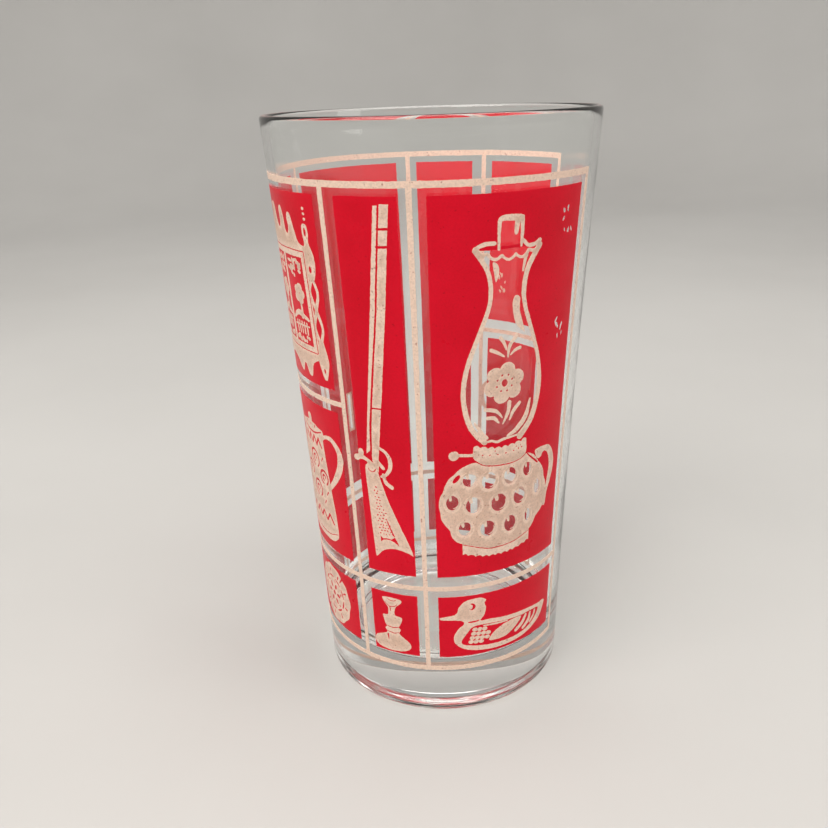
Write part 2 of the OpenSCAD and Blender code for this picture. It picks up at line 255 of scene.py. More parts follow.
def lamp_flower():
    petals = [ellipse(3.25 * c, 3.05 * s, 1.95) for c, s in map(cos_sin, range(18, 378, 60))]
    heart = ellipse(0, 0, 0.78, 0.95)
    seeds = [ellipse(2.05 * c, 2.05 * s, 0.27) for c, s in map(cos_sin, range(20, 380, 45))]
    leaves = [
        stroke([(0.6, 6.2), (0.9, 8.6), (2.6, 11)], 0.35, 0.8, 1.0),
        stroke([(0.1, 8), (-0.5, 9.6), (-1.4, 10.9)], 0.35, 0.8, 0.9),
        stroke([(-0.4, 6.4), (-1.8, 7.4), (-3.6, 8.3)], 0.35, 0.8, 0.9),
        stroke([(1.3, 6.6), (2.4, 7.6), (3.7, 7.9)], 0.35, 0.7, 0.8),
        stroke([(-0.4, -8.4), (-2, -6.6), (-4.6, -5.9)], 0.35, 0.9, 0.9),
        stroke([(-1.2, -9.6), (-2.4, -8.3), (-4, -8.1)], 0.35, 0.9, 0.8),
        stroke([(-0.1, -10), (1.1, -7.4), (1.4, -4.9)], 0.3, 0.9, 1.0),
        stroke([(1.6, -9.4), (2.6, -7.2), (4.2, -5.6)], 0.3, 0.9, 0.8),
    ]
    return Picture([*petals, ellipse(0, 0, 2.4), *leaves], windows=[heart, *seeds])


def lamp_base():
    collar = (
        curve([(-7.2, 29.8), (-7.1, 27), (-4.6, 25.5), (-1, 24.9), (2.4, 24.8), (5.2, 25.3), (6.7, 26.2),
               (6.6, 29.4)])
        + scallops([(6.6, 29.6), (3.6, 29), (0, 28.7), (-3.6, 29.1), (-7.2, 30)], -0.5, 8)
    )
    globe = scallops([(-7, 26), (-11.4, 23.6), (-13.4, 20.6), (-14.7, 17.2), (-14.6, 12.8), (-12.8, 9.3),
                      (-11.6, 6.8), (-9.5, 4.9), (-4.4, 3.3), (-1.4, 2.9), (4, 3.3), (8.2, 4.7), (10.4, 7),
                      (12.8, 9.4), (13.9, 12.4), (13.6, 16.4), (12, 20.6), (9.6, 23.8), (6.7, 25.8)],
                     -0.35, 13)
    foot = curve([(-9.5, 5), (-4.4, 3.3), (-1.4, 2.8), (4, 3.2), (8.6, 4.6)])
    foot += scallops([(8.6, 1.6), (4.4, 0.5), (0, 0.2), (-4.4, 0.5), (-9.4, 1.7)], -0.4, 11)
    handle = curve([(9.7, 25.4), (10.6, 23.2), (12, 23.4), (12.4, 24.2), (13.6, 24.2), (14.9, 22.4),
                    (15.3, 19.4), (14.7, 16), (13.9, 12.6), (13.4, 9.6), (14.3, 9.4), (14.9, 12.6),
                    (16.3, 15.8), (17.3, 19.4), (16.7, 23), (14.8, 25.4), (11.7, 25.9)], closed=True)
    knob = [ellipse(-11.8, 28.2, 1.2, 1.2), stroke([(-11, 28.3), (-9.4, 28.1), (-7, 28)], 0.75, 0.75)]
    windows, shine, ridges = [], [], []
    turn = [cos_sin(a) for a in range(110, 400, 24)]
    for x, y, rx, ry in LAMP_WINDOWS:
        windows.append(ellipse(x, y, rx, ry))
        shine += [
            stroke([(x - 0.45 * rx, y + 0.95 * ry), (x - 0.3 * rx, y + 0.4 * ry)], 0.55 * rx, 0.4 * rx),
            stroke(arc(x + 0.1 * rx, y - 0.05 * ry, 0.72 * ry, -88, 22, 7), 0.1, 0.3, 0.16),
        ]
        ridges.append(stroke([(x + (rx + 0.55) * c, y + (ry + 0.5) * d) for c, d in turn], 0.12, 0.4,
                             0.4, 0.2))
    holes = [ellipse(x, 27.2 + 0.02 * x * x, 0.22, 0.17) for x in (-5, -3.2, -1.2, 0.9, 3, 4.4, 5.3)]
    holes += [ellipse(x, 28.3, 0.15) for x in (-1.9, 3.7, 5)]
    seams = [
        stroke([(-7.1, 26.6), (-4.6, 25), (-1, 24.4), (2.4, 24.3), (5.2, 24.8), (6.8, 25.8)], 0.2, 0.3, 0.22),
        stroke([(-9.3, 4.5), (-4.4, 2.9), (-1.4, 2.4), (4, 2.8), (8.4, 4.2)], 0.2, 0.28, 0.2),
        stroke([(6.7, 26), (8, 24.6), (10.6, 22.2)], 0.2, 0.5, 0.5),
        ellipse(-11.1, 22.2, 0.55, 1.25, -38),
    ]
    return Picture([collar, globe, foot, handle, *knob], [*holes, *seams], shine, windows, ridges)


# The oval windows round the oil holder: middle, half width and half height. They narrow towards its sides.
LAMP_WINDOWS = (
    (-8, 21.6, 1.65, 1.7), (-3.2, 20.8, 1.8, 2.15), (2.3, 21, 1.65, 2.15), (7.3, 21.4, 1.2, 1.8),
    (-12, 16, 1.45, 1.95), (-7, 14.9, 1.8, 2.1), (-0.5, 14.5, 2.0, 2.3), (5.2, 15, 1.7, 2.25),
    (10.8, 15.7, 0.9, 1.9),
    (-8.9, 8.8, 1.55, 1.8), (-3.3, 8.1, 1.85, 2.05), (2.7, 8.1, 1.6, 2.15), (8, 8.8, 0.85, 1.7),
)


def duck():
    body = curve([(-15.9, 10.1), (-13.4, 10.5), (-11.9, 11.2), (-11.3, 13), (-9.8, 14.5), (-7.2, 15),
                  (-5.8, 14.9), (-4.5, 14.1), (-4.9, 13.3), (-4.5, 11.8), (-4.9, 9.8), (-5.9, 8.3), (-3, 8.2),
                  (2, 7.6), (8, 7.2), (12, 6.7), (15, 6.5), (14.6, 4.6), (12.6, 2), (8.6, 0.2), (4, -0.6),
                  (-2.9, -0.7), (-9, 0.2), (-12, 2.2), (-12.5, 4.4), (-11.4, 6.6), (-10.1, 7.8), (-10.4, 8.8),
                  (-12, 9.2), (-15.8, 9.5)], closed=True)
    eye = stroke(arc(-8.4, 12.7, 0.85, 85, -85, 8), 0.35, 0.8, 0.35)
    throat = stroke([(-8.9, 8.3), (-7.4, 8.3), (-6.3, 8.5)], 0.3, 0.55, 0.3)
    wing = curve([(-10.6, 2.4), (-9.2, 5.2), (-7.4, 6.9), (-3, 6.9), (2, 6.4), (6, 6.1), (9.6, 6.0),
                  (12.4, 5.4), (11.2, 3.2), (8.2, 1.4), (4, 0.6), (-2.4, 0.6), (-8, 1.3)], closed=True)
    feathers = []
    for row, (y, count) in enumerate(((5.9, 3), (4.7, 4), (3.5, 4), (2.4, 3))):
        feathers += [ellipse(-7.3 + 1.3 * i - 0.3 * row, y - 0.12 * i, 0.68, 0.56) for i in range(count)]
    feathers += [
        curve([(-3.4, 2), (-2.2, 4), (0.8, 5.6), (4.4, 6), (6, 5.6), (4, 3.4), (1.4, 1.9), (-1.4, 1.6)],
              closed=True),
        stroke([(4.4, 2.2), (6.4, 3.6), (7.6, 5.5)], 1.0, 1.0, 0.7),
        stroke([(6.8, 1.9), (8.6, 3.4), (9.2, 5.4)], 0.9, 1.0, 0.6),
        stroke([(9.2, 2.6), (10.6, 4), (11, 5.3)], 0.6, 0.7, 0.5),
        stroke([(-5, 6.6), (-2, 6.4), (1.6, 6.2)], 0.3, 0.5, 0.3),
    ]
    cuts = [stroke([(-1.8, 2.8), (0.6, 3.6), (3.4, 5.2)], 0.16, 0.26, 0.16),
            stroke([(-0.6, 1.9), (1.8, 3)], 0.16, 0.2)]
    return Picture([body], [eye, throat, wing], feathers, ridges=cuts)


# What the seeded draws of the musket's checks start from
CHECK_SEED = 19


def musket():
    strip = [(-3.9, 27.5), (-3.1, 35.4), (-2.3, 42.2), (0, 62.7), (2.6, 86.1), (3.5, 86.1), (1.15, 62.7),
             (-1.6, 42.2), (-2.5, 35.4), (-2.9, 28.5)]
    barrel = [(-2.5, 26), (-1.9, 35.6), (-1.1, 42.2), (1.6, 62.7), (4, 86.4), (6, 86.4), (3.6, 62.7),
              (1.2, 42.5), (0.3, 35.6), (-0.8, 26.5), (-1, 23)]
    stock = curve([(-4.6, 23.2), (-4.1, 24.9), (-2.9, 25.6), (-1.6, 24.6), (-0.9, 21.8), (1.2, 15),
                   (6.1, 2.4), (5.2, 2), (3.4, 2.6), (1.2, 2.8), (-1.2, 2), (-3, 0.2), (-3.5, 0.6), (-3.9, 8),
                   (-4.3, 16)], closed=True)
    hammer = [
        stroke([(-6.8, 26), (-5.8, 26.4), (-4.6, 26.2), (-3.2, 25.4)], 1.6, 1.3, 0.9, 0.9),
        ellipse(-5.5, 27.6, 0.75, 1),
    ]
    guard = stroke([(-0.7, 29.6), (1, 28.6), (2, 26.8), (1.9, 24.4), (0.8, 22.7), (-0.4, 22.1)], 0.6, 0.8,
                   1.0, 1.0, 0.8, 0.6)
    tail = stroke([(0.1, 22.6), (0.6, 20.7), (2.1, 19.5)], 0.7, 0.95, 1.0)
    trigger = stroke([(-0.9, 25.6), (0.3, 24.3)], 1.0, 0.8)
    rings = [stroke([(x0, y), (x0 + 2.7, y + 0.1)], w, w)
             for x0, y, w in ((-1.7, 39.4, 0.4), (2.7, 77.2, 0.6), (3.1, 81.1, 0.55))]
    corners = [(-1.9, 6), (-1.2, 5.3), (0, 5.5), (1, 5.3), (1.9, 6), (2.4, 5.2), (3, 3.7), (1.6, 4.7),
               (0.6, 5.1), (-0.4, 5.1), (-1.1, 4.9), (-1.8, 4.2)]
    lock = stroke(arc(-2.8, 23.9, 0.95, 190, 350, 6), 0.2, 0.3)
    side = stroke([(0, 10.8), (0.9, 8.4), (1.8, 6.3)], 0.2, 0.34, 0.4)
    draw = random.Random(CHECK_SEED)
    checks = []
    for row in range(16):
        y = 6.6 + row * 0.82
        left, right = -1.8 - 0.05 * row, 1.55 - 0.23 * row
        for x in np.arange(left + 0.4 * (row % 2), right, 0.8):
            checks.append(ellipse(float(x) + draw.uniform(-0.14, 0.14), y + draw.uniform(-0.12, 0.12),
                                  draw.uniform(0.17, 0.32), draw.uniform(0.14, 0.24),
                                  draw.uniform(-50, 50), 7))
    return Picture([strip, barrel, stock, *hammer, guard, tail, trigger],
                   [*rings, corners, lock, side, *checks])


def candlestick():
    silhouette = curve([(-5.4, 1.8), (-4.9, 3.4), (-3.2, 4.3), (-2, 4.9), (-1.7, 5.5), (-2.2, 6.3), (-1.7, 7),
                        (-2.1, 7.8), (-2.4, 9), (-2.6, 10.2), (-1.2, 10.5), (-1, 12.4), (-1.4, 13.2),
                        (-2.3, 14.6), (-2.3, 15.4), (0, 15.6), (2.4, 15.3), (2.5, 14.4), (1, 12.9),
                        (0.7, 10.7), (2.5, 10.1), (2.3, 8.8), (1.9, 7.9), (1.6, 7.1), (2, 6.4), (1.6, 5.5),
                        (1.8, 5), (3, 4), (4.4, 2.6), (4.3, 1.2), (2.4, 0.2), (-1, -0.1), (-4, 0.4)],
                       closed=True)
    marks = [
        stroke([(-1.5, 4.6), (-1.4, 3)], 0.45, 0.25),
        stroke(arc(-0.1, 14.8, 1.8, 200, 330, 8), 0.16, 0.24, 0.16),
        stroke(arc(0.1, 16.4, 1.7, 225, 315, 6), 0.14, 0.22, 0.14),
        stroke([(-1.6, 7.1), (0, 6.8), (1.5, 7.2)], 0.2, 0.3, 0.2),
        stroke([(-1.6, 5.5), (0, 5.2), (1.5, 5.6)], 0.18, 0.28, 0.18),
        stroke([(-0.5, 12.9), (-0.4, 11.7)], 0.3, 0.2),
    ]
    return Picture([silhouette], marks)


def mirror():
    crest = curve([(16.2, 32.4), (14, 33.2), (12.9, 36), (12, 39), (10.9, 39.8), (9.9, 38.6), (10.2, 36.4),
                   (9.4, 34.8), (8.2, 35.4), (7.8, 38.6), (6.8, 40.9), (5.4, 40.2), (5.3, 37), (4.2, 35.6),
                   (2.6, 37), (1.4, 40.6), (0, 41.3)])
    apron = curve([(0, 3.8), (3.4, 2.8), (5.4, 1), (6.8, 0.6), (8, 2.8), (9, 2.6), (10.2, 0.4), (11.6, 0.4),
                   (12.6, 3.2), (14, 4.4), (16.2, 5.2)])
    window = [box(-14.6, 8.1, -4.2, 29.6), box(-2.9, 8.1, 4.2, 29.6), box(5.4, 8.1, 14.2, 29.6)]
    seams = [stroke([(-15.4, y), (15.4, y)], 0.3, 0.3) for y in (6.6, 31.1)]
    seams += [stroke([(s * 15.6, 31), (s * 15.6, 6.8)], 0.34, 0.34) for s in (-1, 1)]
    posts, holes = [], []
    for side in (-1, 1):
        x0 = side * 17.4
        top = both_sides(curve([(0.9, 24.6), (1.7, 26.6), (2.1, 29.4), (1.6, 31.6), (0.8, 33.4), (1.1, 35.6),
                                (0.9, 37.2), (0.3, 37.7)]))
        low = both_sides(curve([(0.4, 0.5), (1.2, 2.4), (1.9, 5.4), (1.4, 8), (0.9, 10)]))
        posts += [[(x0 + x, y) for x, y in top], [(x0 + x, y) for x, y in low]]
        for turn in (-1, 1):
            twist = [(x0 + turn * w, y) for w, y in ((0, 25.4), (1.4, 21.8), (0, 17.6),
                                                     (-1.4, 13.4), (0, 9.4))]
            posts.append(stroke(twist, 1.0, 0.8, 1.1, 0.8, 1.0))
        posts += [ellipse(x0 + 0.5 * side, y, 0.42, 0.34) for y in (38.8, 40, 41.2)]
        holes += [ellipse(x0, 27.2, 0.5, 0.8), ellipse(x0, 35.8, 0.45, 1), ellipse(x0, 2.8, 0.35, 0.6)]
    outline = [both_sides(apron + crest), *posts]
    return Picture(outline, [*window, *seams, *holes], mirror_view())


# What the seeded draws of the leaves and shrubs start from
VIEW_SEED = 7


def mirror_view():
    """A plain landscape in the frame: leafy branches above, round trees, hills, a fence and low shrubs."""
    draw = random.Random(VIEW_SEED)
    parts = []
    for x0, x1 in ((-14, -4.8), (-2.3, 3.6), (6, 13.6)):
        width = x1 - x0
        trunk = x0 + width * 0.62
        parts += [ellipse(draw.uniform(x0 + 0.7, x1 - 0.7), draw.uniform(24.6, 28.7), draw.uniform(0.45, 1.1),
                          draw.uniform(0.35, 0.6), draw.uniform(0, 180), 12)
                  for _ in range(round(width * 2.2))]
        parts += [ellipse(trunk + 1.3 * c, 20.6 + 1.5 * s, 1.2, 1.15, steps=14)
                  for c, s in map(cos_sin, range(0, 360, 72))]
        parts += [stroke([(trunk, 20), (trunk + 0.3, 17), (trunk, 15)], 0.8, 0.8, 1.2)]
        parts += [stroke([(x0, 14.2), (x0 + width * 0.4, 15.8), (x1, 14.5)], 0.7, 1.5, 0.7)]
        parts += [stroke([(x0 + width * k / 6, 10.8), (x0 + width * k / 6, 13.5)], 0.55, 0.55)
                  for k in range(1, 6)]
        parts += [stroke([(x0 + 0.3, 12.6), (x1 - 0.3, 12.8)], 0.45, 0.45)]
        parts += [ellipse(draw.uniform(x0 + 0.4, x1 - 0.4), draw.uniform(8.8, 10), draw.uniform(0.4, 0.8),
                          0.45, 0, 10) for _ in range(round(width * 1.4))]
    return parts


def coffeepot():
    pot = curve([(0, -0.6), (5, -0.5), (7.4, 0.8), (8.2, 2.4), (8.1, 8), (7.5, 13), (7, 18), (6.5, 23),
                 (6.2, 28.6)])
    lid = curve([(6.7, 29.4), (6.4, 30.5), (4.6, 30.8), (2.6, 31.3), (1, 31.6), (1.1, 32.6),
                 (0.7, 33.5), (0, 33.7)])
    handle = stroke([(5.9, 28.2), (7.6, 29.3), (10.4, 29.2), (12.6, 26.4), (12.2, 22.4), (9.8, 18.4),
                     (7, 15.2)], 0.8, 1.1, 1.6, 2.0, 1.9, 1.5, 1.1)
    spout = curve([(-6.4, 12), (-9.4, 18), (-11.2, 23.6), (-12.8, 25.4), (-9.4, 26), (-7, 22), (-6, 20)],
                  closed=True)
    marks = [stroke([(-5.8, 30), (-2.8, 29), (0, 28.7), (2.8, 29), (5.8, 30)], 0.3, 0.5, 0.55, 0.5, 0.3),
             stroke([(-7.8, 2.4), (-4, 1.1), (0, 0.8), (4, 1.1), (7.8, 2.4)], 0.2, 0.36, 0.2)]
    for y, edge in ((6, 6.6), (26.7, 5)):
        zigzag = [(edge * (i / 4 - 1), y + (1.1 if i % 2 else -1.1)) for i in range(9)]
        marks += [stroke([a, b], 0.66, 0.66) for a, b in zip(zigzag, zigzag[1:])]
    for x, y, r in ((0, 21.2, 2.4), (-4.4, 17.2, 1.9), (4.4, 17.2, 1.9), (0, 12.8, 2.2)):
        marks += [stroke(arc(x, y, r, -60, 250, 12), 0.45, 0.7, 0.6),
                  stroke(arc(x, y, 0.4 * r, 0, 250, 8), 0.45, 0.66)]
    marks += [stroke([(s * x, y), (s * (x + 0.8), y + 1.1)], 0.3, 0.55) for s in (-1, 1)
              for x, y in ((4, 21.6), (4.8, 12.4), (3, 9.4))]
    marks += [ellipse(x, 30.6, 0.3, 0.4) for x in (-2.6, 0, 2.6)]
    return Picture([both_sides(pot + lid), handle, spout], marks)


def plate():
    rim = []
    for a in range(0, 360, 4):
        (c, s), wave = cos_sin(a), 0.16 * cos_sin(11 * a)[0]
        rim.append(((7.8 + wave) * c, (8.4 + wave) * s))
    marks = [stroke([(5.8, 7.3), (4.9, 6.1), (3.9, 4.8)], 1.3, 0.6, 0.3),
             stroke([(-5.8, -7.3), (-4.4, -5.6)], 1.0, 0.3)]
    for a in range(20, 380, 40):
        c, s = cos_sin(a)
        marks.append(stroke([(5.6 * c, 6 * s), (6.5 * c, 7 * s)], 0.4, 0.6))
        marks.append(stroke(arc(0, 0, 4.9, a - 15, a + 13, 6), 0.36, 0.6, 0.36))
    for a in range(0, 360, 60):
        c, s = cos_sin(a)
        marks += [ellipse(2.4 * c, 2.4 * s, 0.9, 0.5, a),
                  ellipse(3.7 * c - 0.9 * s, 3.8 * s + 0.9 * c, 0.5, 0.26, a + 60)]
    return Picture([rim], [*marks, ellipse(0, 0, 0.7)])


def kettle():
    body = curve([(0, 0), (7.6, 0.2), (9.2, 2.6), (9.3, 6.4), (7.6, 11), (5, 13.4), (2.4, 14.4), (1.3, 15),
                  (1.2, 16.4), (0, 16.9)])
    spout = curve([(-8, 4), (-10.6, 8), (-13.2, 12.6), (-12, 13.6), (-10, 12.2), (-6.6, 9.6)], closed=True)
    bail = stroke([(7.3, 10.6), (8.4, 15), (5.2, 20), (0, 21.6), (-5.2, 20), (-8.4, 15), (-7.3, 10.6)], 1,
                  1.1, 1.6, 1.1, 1)
    marks = [stroke([(-5.2, 12.6), (0, 12), (5.2, 12.6)], 0.3, 0.3),
             stroke([(-8.4, 3), (0, 2.2), (8.4, 3)], 0.3, 0.3)]
    marks += [stroke([(x, 5), (x + 0.6, 8.4)], 0.3, 0.6, 0.3) for x in (-4, 0, 4)]
    return Picture([both_sides(body), spout, bail], marks)


def jug():
    body = curve([(0, 0), (5.2, 0.3), (7, 4), (7.5, 9), (6.6, 16), (4.6, 20.6), (4.2, 23.4),
                  (5, 27.6), (0, 28)])
    handle = stroke([(5.6, 20.4), (8.6, 22.4), (11, 20), (10.6, 15.4), (7, 11.6)], 1, 1.3, 1.5, 1.3, 1)
    marks = [stroke([(-6.6, y), (0, y - 0.5), (6.6, y)], 0.35, 0.35) for y in (4.4, 15.4)]
    marks += [stroke([(x, 7), (x + 0.8, 10), (x, 12.6)], 0.3, 0.9, 0.3) for x in (-4, 0, 4)]
    return Picture([both_sides(body), handle], marks)


def flat_iron():
    sole = curve([(-9, 0.1), (0, 0), (7.6, 0), (8, 4.8), (4, 5.6), (-2, 5.2), (-6.4, 3.2)], closed=True)
    grip = stroke([(5.8, 5), (6.4, 8.6), (4.4, 10.6), (0, 11), (-2, 9.6), (-1.2, 7), (-0.6, 5)], 1.3, 1.4,
                  1.7, 1.4, 1.2)
    return Picture([sole, grip], [stroke([(-6.4, 1.7), (0, 1.8), (6.8, 1.8)], 0.3, 0.3)])


def broom():
    brush = curve([(0, 0.2), (5, 0), (5.4, 4), (4.3, 13), (2, 18.6), (1.2, 22), (1, 26)])
    handle = curve([(0.85, 27), (0.8, 50), (0.8, 78), (0, 79.6)])
    marks = [stroke([(-4.6 + 0.02 * y, y), (0, y - 0.5), (4.6 - 0.02 * y, y)], 0.4, 0.4)
             for y in (11.6, 14.4)]
    marks += [stroke([(x * 0.8, 9.6), (x * 1.05, 2)], 0.16, 0.4) for x in (-3.4, -1.7, 0, 1.7, 3.4)]
    marks.append(stroke([(0, 75.6), (0, 77)], 0.5, 0.5))
    return Picture([both_sides(brush + handle)], marks)


def key():
    shaft = stroke([(0, 0.8), (0, 10)], 1.5, 1.3)
    bits = [box(0, 0.6, 3, 2.1), box(0, 3.1, 2.6, 4.5)]
    return Picture([shaft, *bits, ellipse(0, 12, 2.7, 2.3)], [ellipse(0, 12.1, 1.5, 1.1)])


# How far the chair's two outlined spindles stand from its middle
SPINDLE_X = 6


def chair():
    parts = [stroke([(s * 10.2, 1), (s * 9.4, 24), (s * 9.2, 58), (s * 9.2, 60)], 1.9, 1.9, 2.2)
             for s in (-1, 1)]
    parts += [curve([(-9.4, y), (0, y - 0.6), (9.4, y), (9.4, y + 2.6), (0, y + 3.6), (-9.4, y + 2.6)],
                    closed=True) for y in (33, 41, 49, 56)]
    parts += [curve([(-11.6, 23.6), (0, 23), (11.6, 23.6), (11, 26.6), (0, 26.2), (-11, 26.6)], closed=True),
              stroke([(-9.6, 12.6), (9.6, 12.6)], 1.4, 1.4),
              stroke([(-14, 3.6), (-7, 1.2), (0, 0.6), (7, 1.2), (14, 3.6)], 1.6, 1.6)]
    parts += [ellipse(s * 9.2, 61.2, 1.3, 1.5) for s in (-1, 1)]
    spindles = [(s * SPINDLE_X - 1.4, s * SPINDLE_X + 1.4) for s in (-1, 1)]
    parts += [box(x0, 11.4, x1, 24.4) for x0, x1 in spindles]
    slots = [box(x0 + 0.9, 12.4, x1 - 0.9, 22.8) for x0, x1 in spindles]
    bare = [box(x0 + 0.2, 11.6, x1 - 0.2, 23.4) for x0, x1 in spindles]
    weave = [stroke([(x, 24.2), (x + 1, 25.6)], 0.26, 0.26) for x in range(-9, 9, 2)]
    return Picture(parts, weave + slots, bare=bare)


def bowl():
    side = curve([(0, 0.2), (4, 0.2), (4.4, 1.8), (8, 4.6), (10.4, 8.6), (11, 12.4), (0, 12)])
    marks = [stroke([(-10.3, 10.4), (0, 9.6), (10.3, 10.4)], 0.32, 0.32)]
    marks += [ellipse(x, 6.6, 0.9, 1.2) for x in (-5.6, 0, 5.6)]
    marks += [ellipse(x, 6, 0.35) for x in (-2.8, 2.8)]
    return Picture([both_sides(side)], marks)


# ---------------------------------------------------------------- printing on the wall


def dense(loop, step=EDGE_STEP, slack=0.2):
    """Splits a closed loop's sides so that none is much longer than a step."""
    out = []
    for (ax, ay), (bx, by) in zip(loop, loop[1:] + loop[:1]):
        length = math.hypot(bx - ax, by - ay)
        cuts = max(1, math.ceil(length / step - slack))
        if length > SAME_POINT:
            out += [(ax + (bx - ax) * k / cuts, ay + (by - ay) * k / cuts) for k in range(cuts)]
    return out


def ragged(loop):
    """Moves each point of an edge a little, the same for every piece that shares the edge.

    The last coordinate only picks a slice of the noise for each kind of wave.
    """
    out = []
    for u, v in loop:
        fine = noise.noise_vector(Vector((u * FINE_WAVES, v * FINE_WAVES, 4.7)))
        broad = noise.noise_vector(Vector((u * BROAD_WAVES, v * BROAD_WAVES, 9.1)))
        out.append((u + RAGGED * (fine.x + BROAD_SHARE * broad.x),
                    v + RAGGED * (fine.y + BROAD_SHARE * broad.y)))
    return out


def placed(loops, azimuth, foot_z):
    """Lays a picture's loops on the unrolled wall."""
    turn = math.radians(azimuth)
    return [
        ragged(dense([((turn + x / wall_r(foot_z + y)) * MEAN_R, foot_z + y) for x, y in loop]))
        for loop in loops
    ]


def field(low_az, high_az, low_z, high_z):
    """The unrolled outline of a panel or line between two azimuths and two heights."""
    u0, u1 = math.radians(low_az) * MEAN_R, math.radians(high_az) * MEAN_R
    return ragged(dense(box(u0, low_z, u1, high_z)))


def grid_points(loops, pitch_u=1.0, pitch_v=1.7, inset_u=0.3, inset_v=0.5, clear=0.62):
    """Points inside a piece that let its triangles follow the round wall, kept clear of its edges."""
    edge = [p for loop in loops for p in loop]
    tree = kdtree.KDTree(len(edge))
    for i, (u, v) in enumerate(edge):
        tree.insert((u, v, 0), i)
    tree.balance()
    low = np.min(edge, axis=0)
    high = np.max(edge, axis=0)
    out = []
    for row, v in enumerate(np.arange(low[1] + inset_v, high[1], pitch_v)):
        for u in np.arange(low[0] + inset_u + 0.5 * pitch_u * (row % 2), high[0], pitch_u):
            if tree.find((u, v, 0))[2] > clear:
                out.append((float(u), float(v)))
    return out


def within(loop, points):
    """Which points a closed loop winds round, so that a stroke may cross itself."""
    ends = np.array(loop)
    hit = np.zeros(len(points), bool)
    near = np.flatnonzero(((points >= ends.min(0)) & (points <= ends.max(0))).all(1))
    if not len(near):
        return hit
    (ax, ay), (bx, by) = ends.T[:, :, None], np.roll(ends, -1, 0).T[:, :, None]
    x, y = points[near].T
    left = (bx - ax) * (y - ay) - (x - ax) * (by - ay)
    winds = ((ay <= y) & (by > y) & (left > 0)).sum(0) - ((ay > y) & (by <= y) & (left < 0)).sum(0)
    hit[near] = winds != 0
    return hit


def within_any(loops, points):
    hit = np.zeros(len(points), bool)
    for loop in loops:
        hit |= within(loop, points)
    return hit


def print_piece(node, material, layer, outline, marks=(), islands=()):
    """One node's enamel: the outline less the marks, plus the islands, as a closed skin."""
    mesh = skin_mesh("enamel_" + node, layer, outline, marks, islands)
    mesh.materials.append(material)
    obj = bpy.data.objects.new("enamel_" + node, mesh)
    bpy.context.collection.objects.link(obj)
    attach(obj, "root")
    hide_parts(node)


def flat_mesh(outline, marks, islands):
    """Flat points and triangles of the outline less the marks, plus the islands."""
    loops = [*outline, *marks, *islands]
    points, edges = [], []
    for loop in loops:
        start = len(points)
        points += loop
        edges += [(start + i, start + (i + 1) % len(loop)) for i in range(len(loop))]
    points += grid_points(loops)
    flat, _, triangles, *_ = delaunay_2d_cdt([Vector(p) for p in points], edges, [], 0, SAME_POINT)
    centres = np.array([[sum(flat[i][k] for i in t) / 3 for k in (0, 1)] for t in triangles])
    keep = (within_any(outline, centres) & ~within_any(marks, centres)) | within_any(islands, centres)
    return flat, [t for t, kept in zip(triangles, keep) if kept]


# In millimetres from the wall: how deep a layer's back sits in it, how far its front stands proud, and how
# far its front does so at its edges
Layer = namedtuple("Layer", "back front edge")
RED = Layer(-0.05, 0.05, 0.045)
CREAM = Layer(-0.03, 0.12, 0.07)
LINE = Layer(-0.03, 0.12, 0.075)
RIDGE = Layer(0.05, 0.2, 0.15)
# The attribute that marks heaped ink: along edges, and all over lines and ridges
HEAPED = "heaped_ink"
# Enamel edges sharper than this are shaded sharp
SHARP = math.radians(40)


def bent(point, level):
    """A flat point on the wall, a little above or below its surface."""
    turn, r = point[0] / MEAN_R, wall_r(point[1]) + level
    return r * math.cos(turn) * MM, r * math.sin(turn) * MM, point[1] * MM


def skin_mesh(name, layer, outline, marks=(), islands=()):
    """Bends flat triangles round the wall and gives them a back, a front and side walls."""
    flat, triangles = flat_mesh(outline, marks, islands)
    sides = Counter(tuple(sorted(pair)) for t in triangles for pair in zip(t, t[1:] + t[:1]))
    rim = {i for pair, count in sides.items() if count == 1 for i in pair}
    used = sorted({i for t in triangles for i in t})
    number = {old: new for new, old in enumerate(used)}
    back = [bent(flat[i], layer.back) for i in used]
    front = [bent(flat[i], layer.edge if i in rim else layer.front) for i in used]
    n = len(used)
    faces = []
    for t in triangles:
        a, b, c = (number[i] for i in t)
        faces += [(a + n, b + n, c + n), (c, b, a)]
        for p, q in zip(t, t[1:] + t[:1]):
            if sides[tuple(sorted((p, q)))] == 1:
                p, q = number[p], number[q]
                faces.append((p, q, q + n, p + n))
    mesh = bpy.data.meshes.new(name)
    mesh.from_pydata(back + front, [], faces)
    mesh.validate()
    mesh.shade_smooth()
    mesh.set_sharp_from_angle(angle=SHARP)
    heaped = mesh.attributes.new(HEAPED, "FLOAT", "POINT")
    heaped.data.foreach_set("value", [1.0 if i in rim or layer in (LINE, RIDGE) else 0.0 for i in used] * 2)
    return mesh


# ---------------------------------------------------------------- the glass body

# Height where the heel runs out into the wall
HEEL_Z = 2.5
# Width of the bend between the foot's ring and the flat of the punt
PUNT_BEND = 3.6
# Radius of the bend from the inner wall to the floor, and how deep the floor is dished
FLOOR_SWEEP = 7.5
FLOOR_DISH = 0.7
SEGMENTS = 224
# How far the inner wall drifts, and how the drift's noise is spread round and up the wall
DRIFT = 0.1
DRIFT_ROUND, DRIFT_UP = 1.3, 0.012


